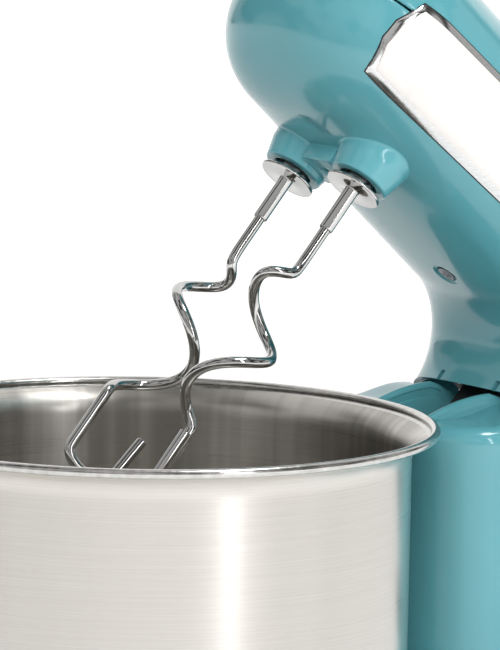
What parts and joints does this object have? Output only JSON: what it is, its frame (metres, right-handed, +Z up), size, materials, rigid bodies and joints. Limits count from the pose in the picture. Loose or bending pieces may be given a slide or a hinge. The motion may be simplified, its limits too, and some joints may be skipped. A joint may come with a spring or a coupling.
{
  "type": "stand mixer",
  "caption": "Tilt-head stand mixer with two spiral dough hooks, a steel bowl on a turning plate and a hinged motor head, shown open.",
  "frame": {"origin": "middle of the whole open mixer's plan box, on the plane the feet rest on", "axes": "+Z up, the nose of the head and the bowl towards -Y, the column towards +Y, +X to the side that carries the speed knob"},
  "size_m": [0.244, 0.3918, 0.3817],
  "materials": {
    "body_plastic": "glossy moulded ABS, turquoise",
    "trim_panel": "off-white side panel with a silver edge",
    "bowl_steel": "spun stainless steel, brushed round the axis",
    "chrome": "polished chrome plate",
    "steel": "machined steel",
    "aluminium": "die cast, matt",
    "iron": "laminated iron",
    "brass": "sintered bronze",
    "copper": "enamelled copper winding",
    "carbon": "pressed carbon",
    "black_plastic": "moulded, fine texture",
    "gear_plastic": "acetal, satin",
    "board": "glass-fibre circuit board",
    "rubber": "soft black rubber"
  },
  "bodies": {
    "stand": {"base_shell": "body_plastic", "base_cover": "black_plastic", "rubber_feet": "rubber", "base_screws": "steel", "hinge_pin": "steel", "hinge_brackets": "steel", "turntable_axle": "steel", "latch_guide": "steel", "latch_spring": "steel", "cord_gland": "rubber", "terminal_block": "gear_plastic"},
    "turntable": {"turntable": "body_plastic", "turntable_bush": "brass"},
    "bowl": {"bowl": "bowl_steel", "bowl_foot_ring": "bowl_steel"},
    "head": {"head_lower_shell": "body_plastic", "head_upper_shell": "body_plastic", "side_trim_right": "trim_panel", "side_trim_left": "trim_panel", "spindle_housing": "body_plastic", "hinge_arm": "black_plastic", "hinge_bushes": "brass", "gearbox_housing": "aluminium", "gearbox_cover": "aluminium", "spindle_bushes": "brass", "spindle_seals": "rubber", "motor_stator": "iron", "field_coils": "copper", "motor_front_bracket": "aluminium", "motor_rear_bracket": "aluminium", "brush_holders": "black_plastic", "carbon_brushes": "carbon", "shaft_bearings": "steel", "speed_switch": "black_plastic", "speed_board": "board", "tilt_switch": "black_plastic", "shell_screws": "steel", "eject_spring": "steel"},
    "rotor": {"worm_shaft": "steel", "armature": "iron", "commutator": "copper", "cooling_fan": "black_plastic"},
    "spindle_right": {"spindle_right": "steel", "gear_right": "gear_plastic"},
    "spindle_left": {"spindle_left": "steel", "gear_left": "gear_plastic"},
    "hook_right": {"hook_wire_right": "chrome", "hook_collar_right": "chrome"},
    "hook_left": {"hook_wire_left": "chrome", "hook_collar_left": "chrome"},
    "knob": {"speed_knob": "trim_panel"},
    "ejector": {"eject_button": "trim_panel", "eject_yoke": "black_plastic"},
    "release": {"release_button": "black_plastic"}
  },
  "joints": [
    {"name": "turntable_spin", "type": "hinge", "parent": "stand", "child": "turntable", "pos_m": [0, -0.07385, 0.02], "axis": [0, 0, 1], "continuous": true},
    {"name": "bowl_lift", "type": "slide", "parent": "turntable", "child": "bowl", "axis": [0, 0, -1], "range_m": [-0.06, 0]},
    {"name": "head_tilt", "type": "hinge", "parent": "stand", "child": "head", "pos_m": [0, 0.07815, 0.126], "axis": [1, 0, 0], "range_deg": [0, 41.12]},
    {"name": "spindle_right_spin", "type": "hinge", "parent": "head", "child": "spindle_right", "pos_m": [0.0224, 0.03232, 0.29079], "axis": [0, 0.6576, 0.7533], "continuous": true},
    {"name": "spindle_left_spin", "type": "hinge", "parent": "head", "child": "spindle_left", "pos_m": [-0.0224, 0.03232, 0.29079], "axis": [0, 0.6576, 0.7533], "continuous": true},
    {"name": "rotor_spin", "type": "hinge", "parent": "head", "child": "rotor", "pos_m": [0, 0.0825, 0.27088], "axis": [0, 0.7533, -0.6576], "continuous": true},
    {"name": "hook_right_pull", "type": "slide", "parent": "spindle_right", "child": "hook_right", "axis": [0, 0.6576, 0.7533], "range_m": [-0.03, 0]},
    {"name": "hook_left_pull", "type": "slide", "parent": "spindle_left", "child": "hook_left", "axis": [0, 0.6576, 0.7533], "range_m": [-0.03, 0]},
    {"name": "speed_knob_turn", "type": "hinge", "parent": "head", "child": "knob", "pos_m": [0.062, 0.10453, 0.25961], "axis": [1, 0, 0], "range_deg": [0, 240]},
    {"name": "eject_press", "type": "slide", "parent": "head", "child": "ejector", "axis": [0, -0.6576, -0.7533], "range_m": [0, 0.005], "stiffness_N_per_m": 800, "springref_m": -0.003},
    {"name": "release_press", "type": "slide", "parent": "stand", "child": "release", "axis": [-1, 0, 0], "range_m": [0, 0.005], "stiffness_N_per_m": 600, "springref_m": -0.003}
  ],
  "couplings": [
    {"joint": "spindle_left_spin", "follows": "spindle_right_spin", "ratio": -1},
    {"joint": "rotor_spin", "follows": "spindle_right_spin", "ratio": 13}
  ]
}
